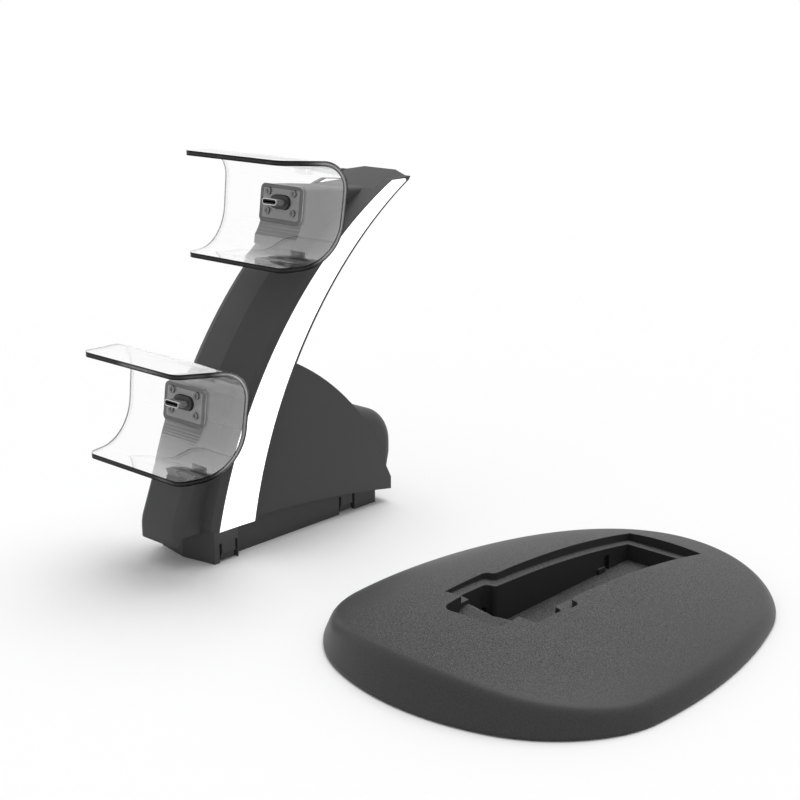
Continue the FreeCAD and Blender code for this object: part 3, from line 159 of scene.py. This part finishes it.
# %% [markdown]
# ## Patterns and colours
# Patterns are laid out on the Object coordinates, which are metres here, so a grain has the same size on
# every piece.  A noise gives each point a number between 0 and 1, and a Mix node turns such a number into
# a colour between two others.  A Math node would turn a colour grey, so no colour passes through one.

# %% Coordinates, noise and mixed colours
# A Mix node repeats its sockets for numbers, vectors and colours, so a mix of colours takes them by number.
MIX_SHARE = 0
MIX_FIRST = 6
MIX_SECOND = 7
MIX_RESULT = 2


def coordinate(finish, kind):
    """Object is the place of a point, and Normal is the way that the surface faces there."""
    return finish.node("ShaderNodeTexCoord").outputs[kind]


def along(finish, vector, axis):
    """How far a vector goes along one axis."""
    made = finish.node("ShaderNodeSeparateXYZ", None, {"Vector": vector})
    return Signal(finish, made.outputs[axis])


def noise(finish, per_metre, detail=2.0, roughness=0.5):
    made = finish.node("ShaderNodeTexNoise", None, {
        "Vector": coordinate(finish, "Object"),
        "Scale": per_metre,
        "Detail": detail,
        "Roughness": roughness,
    })
    return Signal(finish, made.outputs[0])


def colours(finish, share, first, second):
    made = finish.node("ShaderNodeMix", {"data_type": "RGBA"}, {
        MIX_SHARE: share,
        MIX_FIRST: (*first, 1.0),
        MIX_SECOND: (*second, 1.0),
    })
    return made.outputs[MIX_RESULT]


print("helpers:", ", ".join(helper.__name__ for helper in (coordinate, along, noise, colours)))

# %% [markdown]
# ## Moulded dark plastic
# The tower and the base are moulded from dark grey plastic, and the texture of the mould leaves a fine
# grain on their skin, so that it looks matt.  A picture of the grain could be wrapped round them, but
# single grains are too small to be told apart, so a noise does as well and needs no unwrapping.  It tilts
# the surface a little through a Bump node and changes the colour a little.  Faces that look upward are
# painted lighter, as painted top light, and their specks are stronger, as painted glints; on the walls
# the grain hardly shows.  The upward part of the normal makes a mask for that, and each pair of numbers
# below holds the value on walls and the value on faces that look upward.  A Bevel node rounds the sharp
# edges of the solids in the shading alone.

# %% Grained plastic
GRAIN_SIZE = 0.00038
GRAIN_DARK_BELOW = 0.30
GRAIN_LIGHT_ABOVE = 0.70
GRAIN_STRENGTH = 0.5
CLOUDS_PER_METRE = 22.0
CLOUD_ROUGHNESS = 0.08
SOFT_EDGE = 0.00035
SOFT_EDGE_SAMPLES = 4
UPWARD_FROM = 0.88
UPWARD_FULL = 0.995
# The next two pairs paint light: a larger share of the light colour on faces that look upward, as painted
# top light, and stronger specks there, as painted glints.
TONE_AND_PAINTED_TOP_LIGHT = (0.30, 0.60)
GRAIN_AND_PAINTED_GLINTS = (0.15, 1.05)
GRAIN_HEIGHT = (0.2, 1.0)
ADDED_ROUGHNESS = (0.0, 0.25)


def rounded(finish, radius, samples):
    """The way that the surface would face if its sharp edges were rounded."""
    return finish.node("ShaderNodeBevel", {"samples": samples}, {"Radius": radius}).outputs["Normal"]


def moulded_plastic(title, dark, light, roughness, shine, grain_depth):
    finish = new_finish(title)
    grain = noise(finish, 1.0 / GRAIN_SIZE)
    cloud = noise(finish, CLOUDS_PER_METRE)
    upward = along(finish, coordinate(finish, "Normal"), "Z").ramp(UPWARD_FROM, UPWARD_FULL)
    speck = grain.ramp(GRAIN_DARK_BELOW, GRAIN_LIGHT_ABOVE) - 0.5
    # The share of the light colour is real grain plus painted top light, and the stronger specks on upward
    # faces are painted glints.
    share = upward.between(*TONE_AND_PAINTED_TOP_LIGHT) + speck * upward.between(*GRAIN_AND_PAINTED_GLINTS)
    bump = finish.node("ShaderNodeBump", None, {
        "Strength": GRAIN_STRENGTH,
        "Distance": grain_depth,
        "Height": grain * upward.between(*GRAIN_HEIGHT),
        "Normal": rounded(finish, SOFT_EDGE, SOFT_EDGE_SAMPLES),
    })
    return finish.surface(finish.node("ShaderNodeBsdfPrincipled", None, {
        "Base Color": colours(finish, share, dark, light),
        "Roughness": roughness + CLOUD_ROUGHNESS * cloud + upward.between(*ADDED_ROUGHNESS),
        "Specular IOR Level": shine,
        "Normal": bump.outputs["Normal"],
    }))


print("grain of", GRAIN_SIZE, "and soft edges of", SOFT_EDGE)

# %% [markdown]
# ## Two mouldings
# The tower is an even dark grey, with its tops painted lighter as painted top light.  The top of the base
# is coarser: its specks go from nearly black to mid grey, the brightest of them painted glints, and its
# grain is deeper and catches more light.

# %% Plastic of the tower and of the base
tower_plastic = moulded_plastic(
    "tower plastic",
    dark=(0.056, 0.056, 0.0562),
    light=(0.086, 0.086, 0.0864),
    roughness=0.42,
    shine=0.20,
    grain_depth=0.00003,
)
base_plastic = moulded_plastic(
    "base plastic",
    dark=(0.006, 0.006, 0.0061),
    light=(0.095, 0.095, 0.0955),
    roughness=0.36,
    shine=0.28,
    grain_depth=0.00014,
)
print("moulded finishes:", tower_plastic.name, "and", base_plastic.name)

# %% [markdown]
# ## Clear sheet
# Each cradle is one bent sheet of clear acrylic, 2 mm thick.  Real glass shading bends the light and shows
# the white studio in it.  A clear coat on top makes the polished skin more reflective: over the white
# ground the sheet stays nearly invisible, while the dark housing behind it looks mid grey, as it does in
# the photograph.  The coat comes and goes in broad bands, like the uneven shine of a bent sheet.

# %% Clear acrylic
ACRYLIC_IOR = 1.49
ACRYLIC_TINT = (0.20, 0.21, 0.22)
ACRYLIC_DENSITY = 12.0
POLISH_IOR = 2.1
POLISH_SHARE = (0.45, 1.0)
BANDS_PER_METRE = 16.0
BAND_DULL_BELOW = 0.35
BAND_BRIGHT_ABOVE = 0.65
WHITE = (1.0, 1.0, 1.0)


def clear_acrylic():
    finish = new_finish("clear acrylic")
    bands = noise(finish, BANDS_PER_METRE, detail=1.0, roughness=0.4)
    shader = finish.node("ShaderNodeBsdfPrincipled", None, {
        "Base Color": (*WHITE, 1.0),
        "Roughness": 0.0,
        "IOR": ACRYLIC_IOR,
        "Transmission Weight": 1.0,
        "Coat Weight": bands.ramp(BAND_DULL_BELOW, BAND_BRIGHT_ABOVE).between(*POLISH_SHARE),
        "Coat Roughness": 0.0,
        "Coat IOR": POLISH_IOR,
    })
    depth = finish.node("ShaderNodeVolumeAbsorption", None, {
        "Color": (*ACRYLIC_TINT, 1.0),
        "Density": ACRYLIC_DENSITY,
    })
    return finish.surface(shader, depth)


clear_sheet = clear_acrylic()
print("sheet finish:", clear_sheet.name, "of", len(clear_sheet.node_tree.nodes), "nodes")

# %% [markdown]
# ## Finding an edge
# A shader doesn't know how far a point is from the next edge.  A Bevel node does: near an edge, the normal
# that it gives leans away from the true one.  The dot product of the two is 1 on an open face and falls
# towards the edge, so 1 less that number marks a band along every edge.

# %% Share of an edge
EDGE_SAMPLES = 6


def measured(finish, operation, *vectors):
    """One number taken from vectors, such as a length or a dot product."""
    made = finish.node("ShaderNodeVectorMath", {"operation": operation}, dict(enumerate(vectors)))
    return Signal(finish, made.outputs["Value"])


def edge_share(finish, radius):
    """0 on open faces, rising over this distance to about 0.3 at a square edge."""
    true = finish.node("ShaderNodeNewGeometry").outputs["True Normal"]
    return 1.0 - measured(finish, "DOT_PRODUCT", rounded(finish, radius, EDGE_SAMPLES), true)


print("edges found with", EDGE_SAMPLES, "samples")

# %% [markdown]
# ## Cut edge of the sheet
# The long edges of the sheet are cut and polished.  Seen from the side, such an edge looks dark, because
# it shows the inside of the sheet from end to end, with a black line along each arris and a paler core
# that brightens in places, most of all round the bend.  Glass shading could show that, but a plain white
# studio has little that is dark to show there, so this light and shade is painted into the colour: painted
# black lines along the arrises, a painted dark core, painted glints along it and a painted highlight round
# the bend.  The arris is found as above, a slow noise places the painted glints along the core, and the
# bend is found by how near a point lies to the back of its cradle.

# %% Painted light and shade of the cut edge
LEVELS = ("lower", "upper")
SHEETS = tuple(level + "_cradle" for level in LEVELS)
BLACK = (0.0, 0.0, 0.0)
ARRIS = 0.0018
ARRIS_FROM = 0.001
ARRIS_FULL = 0.012
PAINTED_GLINTS_PER_METRE = 45.0
PAINTED_GLINT_FROM = 0.55
PAINTED_GLINT_FULL = 0.70
BEND_FROM = 0.017
BEND_FULL = 0.0085
# The core's grey, its glints and the bright bend are painted light; the black lines at the arrises are
# painted shade.
PAINTED_CORE_GREY = 0.06
PAINTED_GLINT_GREY = 0.30
PAINTED_BEND_HIGHLIGHT_GREY = 0.64


def cut_edge(name):
    finish = new_finish(name + " cut edge")
    near_arris = edge_share(finish, ARRIS).ramp(ARRIS_FROM, ARRIS_FULL)
    painted_glint = noise(finish, PAINTED_GLINTS_PER_METRE, detail=1.0, roughness=0.4).ramp(PAINTED_GLINT_FROM, PAINTED_GLINT_FULL)
    back_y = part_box(name)[1][1]
    bend = along(finish, coordinate(finish, "Object"), "Y").ramp(back_y - BEND_FROM, back_y - BEND_FULL)
    # Painted light and shade: a grey core with painted glints and a painted highlight at the bend, cut to
    # painted black lines at the arrises.
    core = PAINTED_CORE_GREY + PAINTED_GLINT_GREY * painted_glint + PAINTED_BEND_HIGHLIGHT_GREY * bend
    return finish.surface(finish.node("ShaderNodeBsdfPrincipled", None, {
        "Base Color": colours(finish, core * (1.0 - near_arris), BLACK, WHITE),
        "Roughness": 0.15,
        "Specular IOR Level": 0.1,
    }))


sheet_edge = {name: cut_edge(name) for name in SHEETS}
print("cut edges:", ", ".join(finish.name for finish in sheet_edge.values()))

# %% [markdown]
# ## White light guide
# The strips in the sides are milky light guides.  They could be left as white plastic, but they are lit in
# the photograph, so they show no shading of their own.  A pale gloss plastic gets enough emission to read
# as plain white, and a faint haze in its colour.

# %% Light strip
STRIP_GLOW = 0.95
HAZES_PER_METRE = 90.0
MILKY = (0.90, 0.90, 0.90)
MILKY_LIGHT = (0.94, 0.94, 0.94)


def light_guide():
    finish = new_finish("white light guide")
    haze = noise(finish, HAZES_PER_METRE, detail=1.0)
    return finish.surface(finish.node("ShaderNodeBsdfPrincipled", None, {
        "Base Color": colours(finish, haze, MILKY, MILKY_LIGHT),
        "Roughness": 0.25,
        "Emission Color": (*WHITE, 1.0),
        "Emission Strength": STRIP_GLOW,
    }))


strip_white = light_guide()
print("strip finish:", strip_white.name, "glowing at", STRIP_GLOW)

# %% [markdown]
# ## Metal, rubber and board
# The plug shells and the socket are thin plated metal, the screws are plain steel, the pads and seals round
# the plugs are grey and glossy, with the pads lightened by a painted veil of reflection from the clear
# sheet, and the feet are rubber.  They differ only in a few numbers, so one function makes them all from a
# table.  A fine noise moves the colour and the roughness a little, so that no surface is perfectly even.

# %% Small finishes
PATTERN_ROUGHNESS = 0.1


def plain_finish(title, colour, roughness, metallic, pattern_size, spread):
    finish = new_finish(title)
    pattern = noise(finish, 1.0 / pattern_size)
    darker = tuple(channel * (1.0 - spread) for channel in colour)
    lighter = tuple(min(1.0, channel * (1.0 + spread)) for channel in colour)
    return finish.surface(finish.node("ShaderNodeBsdfPrincipled", None, {
        "Base Color": colours(finish, pattern, darker, lighter),
        "Roughness": roughness + PATTERN_ROUGHNESS * pattern,
        "Metallic": metallic,
    }))


# Each row: colour, roughness, metallic, size of the pattern, and how far the pattern moves the colour.
SMALL_FINISHES = {
    "black moulding": ((0.018, 0.018, 0.018), 0.35, 0.0, 0.001, 0.15),
    "plated metal": ((0.60, 0.60, 0.61), 0.16, 1.0, 0.002, 0.05),
    "screw steel": ((0.42, 0.42, 0.43), 0.30, 1.0, 0.001, 0.08),
    "solder mask": ((0.015, 0.085, 0.035), 0.40, 0.0, 0.003, 0.10),
    "chip moulding": ((0.020, 0.020, 0.022), 0.55, 0.0, 0.001, 0.10),
    "rubber": ((0.018, 0.018, 0.018), 0.75, 0.0, 0.001, 0.20),
    "raw steel": ((0.20, 0.20, 0.21), 0.55, 1.0, 0.004, 0.20),
    # The pad's grey is partly its own and partly a painted veil of reflection from the clear sheet round
    # it.
    "connector pad and painted veil": ((0.32, 0.32, 0.32), 0.18, 0.0, 0.002, 0.04),
    "connector seal": ((0.14, 0.14, 0.14), 0.25, 0.0, 0.001, 0.06),
    "dull screw": ((0.20, 0.20, 0.20), 0.30, 0.6, 0.001, 0.10),
}
small_finish = {title: plain_finish(title, *row) for title, row in SMALL_FINISHES.items()}
print("small finishes:", ", ".join(small_finish))

# %% [markdown]
# ## Giving every solid its finish
# The record names one material slot for each node.  The slots are matched to the finishes above by name,
# so a solid can never be left without one.  The pads behind the plugs are painted lighter than the rest of
# their slot, partly their own grey and partly a painted veil of reflection from the clear sheet round them,
# and the screws beside them look duller, so they have a finish of their own.

# %% Assign the finishes
FINISH_OF_SLOT = {
    "tower_plastic": tower_plastic,
    "base_plastic": base_plastic,
    "strip_white": strip_white,
    "clear_sheet": clear_sheet,
    "frame_dark": small_finish["connector seal"],
    "collar_black": small_finish["black moulding"],
    "plug_metal": small_finish["plated metal"],
    "screw_steel": small_finish["screw steel"],
    "board_green": small_finish["solder mask"],
    "chip_black": small_finish["chip moulding"],
    "foot_rubber": small_finish["rubber"],
    "ballast_steel": small_finish["raw steel"],
}
OWN_FINISH = {}
for level in LEVELS:
    OWN_FINISH[level + "_connector_pad"] = small_finish["connector pad and painted veil"]
    OWN_FINISH[level + "_cradle_screws"] = small_finish["dull screw"]
slot_of_node = {row["node"]: row["material_slot"] for row in frame["record"]["subparts"]}


def finish_of(name):
    return OWN_FINISH.get(name, FINISH_OF_SLOT[slot_of_node[name]])


for name, piece in nodes.items():
    piece.data.materials.clear()
    piece.data.materials.append(finish_of(name))
print("finished nodes:", len(nodes), "of which", len(OWN_FINISH), "have their own finish")

# %% [markdown]
# ## Smooth shading
# The packed solids are loose triangles, so a curved wall would show its facets.  A finer mesh would hide
# them at a high cost, and smooth shading hides them for nothing.  Each curved piece is copied, its doubled
# corners are merged, and the copy is shaded smooth except at real edges: an edge that turns by more than
# the limit stays sharp.  The broad shells have fine facets and take a low limit.  The small round pieces
# have as few as 16 sides, which turn by 22.5 degrees, and take a higher one.  The copy then stands for the
# solid, which stays in the model for its collision.

# %% Choose the curved pieces
CRISP = math.radians(12.0)
ROUND = math.radians(24.0)
BROAD_PIECES = (
    "tower_front_shell",
    "tower_rear_shell",
    "tower_foot",
    "base_shell",
    "base_plate",
    "light_strip_right",
    "light_strip_left",
)
CRADLE_PIECES = (
    "cradle",
    "connector_frame",
    "connector_pad",
    "cradle_screws",
    "plug_collar",
    "plug_shell",
    "plug_core",
)
ROUND_PIECES = (
    *(level + "_" + piece for piece in CRADLE_PIECES for level in LEVELS),
    "power_socket",
    "base_feet",
    "base_screws",
    "foot_screws",
)
EDGE_LIMIT = {**dict.fromkeys(BROAD_PIECES, CRISP), **dict.fromkeys(ROUND_PIECES, ROUND)}
print("curved pieces:", len(EDGE_LIMIT))

# %% [markdown]
# ## Copying and welding
# The clear sheets need two finishes, one for the broad faces and one for the cuts.  A sheet is bent about
# a line along X, so its broad faces never look along X.  A face that does is a cut side, and a face in the
# foremost plane is a cut end.

# %% Merge and smooth the curved pieces
WELD = 0.000001
CUT_SIDE = 0.02
CUT_END = 0.00001


def is_cut(face, front_y):
    return abs(face.normal.x) > CUT_SIDE or face.calc_center_median().y < front_y + CUT_END


def smooth_copy(name, limit):
    mesh = bmesh.new()
    mesh.from_mesh(nodes[name].data)
    bmesh.ops.remove_doubles(mesh, verts=mesh.verts[:], dist=WELD)
    for face in mesh.faces:
        face.smooth = True
    for edge in mesh.edges:
        edge.smooth = len(edge.link_faces) == 2 and edge.calc_face_angle(0.0) < limit
    if name in SHEETS:
        front_y = min(vertex.co.y for vertex in mesh.verts)
        for face in mesh.faces:
            face.material_index = int(is_cut(face, front_y))
    data = bpy.data.meshes.new(name + "_smooth")
    mesh.to_mesh(data)
    mesh.free()
    data.materials.append(finish_of(name))
    if name in SHEETS:
        data.materials.append(sheet_edge[name])
    piece = bpy.data.objects.new(name + "_smooth", data)
    bpy.context.scene.collection.objects.link(piece)
    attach(piece, "root")
    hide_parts(name)
    return piece


smooth_pieces = [smooth_copy(name, limit) for name, limit in EDGE_LIMIT.items()]
print("smooth pieces:", len(smooth_pieces))
print("their triangles:", sum(len(piece.data.polygons) for piece in smooth_pieces))

# %% [markdown]
# ## White table
# The photograph has a pure white ground with soft grey shadows.  A plane would do, but its far edge would
# show as a horizon.  The table is a white matt disc that catches the shadow and fades out towards its rim,
# where the white world takes over.

# %% Table
FLOOR_RADIUS = 1.6
FLOOR_SEGMENTS = 96
FLOOR_FADE_FROM = 0.35
FLOOR_FADE_TO = 1.0
FLOOR_WHITE = (0.93, 0.93, 0.93)


def white_table():
    finish = new_finish("white table")
    from_middle = measured(finish, "LENGTH", coordinate(finish, "Object"))
    return finish.surface(finish.node("ShaderNodeBsdfPrincipled", None, {
        "Base Color": (*FLOOR_WHITE, 1.0),
        "Roughness": 0.9,
        "Specular IOR Level": 0.0,
        "Alpha": 1.0 - from_middle.ramp(FLOOR_FADE_FROM, FLOOR_FADE_TO),
    }))


def make_floor():
    mesh = bmesh.new()
    bmesh.ops.create_circle(mesh, cap_ends=True, segments=FLOOR_SEGMENTS, radius=FLOOR_RADIUS)
    data = bpy.data.meshes.new("table")
    mesh.to_mesh(data)
    mesh.free()
    data.materials.append(white_table())
    floor = bpy.data.objects.new("table", data)
    bpy.context.scene.collection.objects.link(floor)
    print("table of radius", FLOOR_RADIUS, "fading out from", FLOOR_FADE_FROM, "to", FLOOR_FADE_TO)
    return floor


make_floor()

# %% [markdown]
# ## White world
# The world is what a ray meets when it misses everything.  It is plain white for rays that look at it
# directly, in a reflection or through the clear sheet, so the ground and the mirror images in plastic and
# metal stay white.  As a lamp that would be too bright and would wash out the shadows, so the rays that
# only carry light to a surface meet a dimmer world.

# %% World
WORLD_SEEN = 1.0
WORLD_LIGHT = 0.52


def make_world():
    world = bpy.data.worlds.new("studio")
    bpy.context.scene.world = world
    sky = Finish(world, "ShaderNodeOutputWorld")
    rays = sky.node("ShaderNodeLightPath").outputs
    looking = Signal(sky, rays["Is Camera Ray"])
    looking = looking.highest(rays["Is Glossy Ray"])
    looking = looking.highest(rays["Is Transmission Ray"])
    return sky.surface(sky.node("ShaderNodeBackground", None, {
        "Color": (*WHITE, 1.0),
        "Strength": looking.between(WORLD_LIGHT, WORLD_SEEN),
    }))


studio = make_world()
print("world:", studio.name, "seen at", WORLD_SEEN, "and lighting at", WORLD_LIGHT)

# %% [markdown]
# ## Soft light from above
# The shadows in the photograph are short and soft, as under a large softbox overhead.  An area lamp would
# do that too, but its light falls off with distance.  A sun with a broad disc lights the tower and the
# base alike.  It stands a little behind the dock, so that the soft shadows fall forward.  Its spread and
# its tilt about X and Y are in degrees.

# %% Sun
SUN_STRENGTH = 1.85
SUN_SPREAD = 50.0
SUN_TILT = (-20.0, -6.0)

sun_data = bpy.data.lights.new("overhead sun", "SUN")
sun_data.energy = SUN_STRENGTH
sun_data.angle = math.radians(SUN_SPREAD)
sun = bpy.data.objects.new("overhead sun", sun_data)
sun.rotation_euler = (math.radians(SUN_TILT[0]), math.radians(SUN_TILT[1]), 0.0)
bpy.context.scene.collection.objects.link(sun)
print("sun:", SUN_STRENGTH, "over", SUN_SPREAD, "degrees")

# %% [markdown]
# ## Camera
# The photograph was taken from the right of the front, a little above the object, with a longish lens.
# A camera could be moved by eye until the picture fits, but the edges of the tower's foot and the known
# width of the plugs settle its place, its two angles in degrees and its lens in millimetres.

# %% Camera
CAMERA_PLACE = (0.34298, -0.39938, 0.22059)
CAMERA_TURN = 42.292
CAMERA_DIP = 15.816
CAMERA_LENS = 66.63
SENSOR = 36.0
CLOSEST_SEEN = 0.01

camera_data = bpy.data.cameras.new("camera")
camera_data.lens = CAMERA_LENS
camera_data.sensor_width = SENSOR
camera_data.clip_start = CLOSEST_SEEN
camera = bpy.data.objects.new("camera", camera_data)
camera.location = CAMERA_PLACE
camera.rotation_euler = (math.radians(90.0 - CAMERA_DIP), 0.0, math.radians(CAMERA_TURN))
bpy.context.scene.collection.objects.link(camera)
bpy.context.scene.camera = camera
bpy.context.scene.view_settings.view_transform = "Standard"
print("camera at", tuple(round(value, 4) for value in camera.location))

# %% [markdown]
# ## Last update
# The view layer is updated once more, so that every object placed above stands in its place.

# %% Update the view layer
bpy.context.view_layer.update()
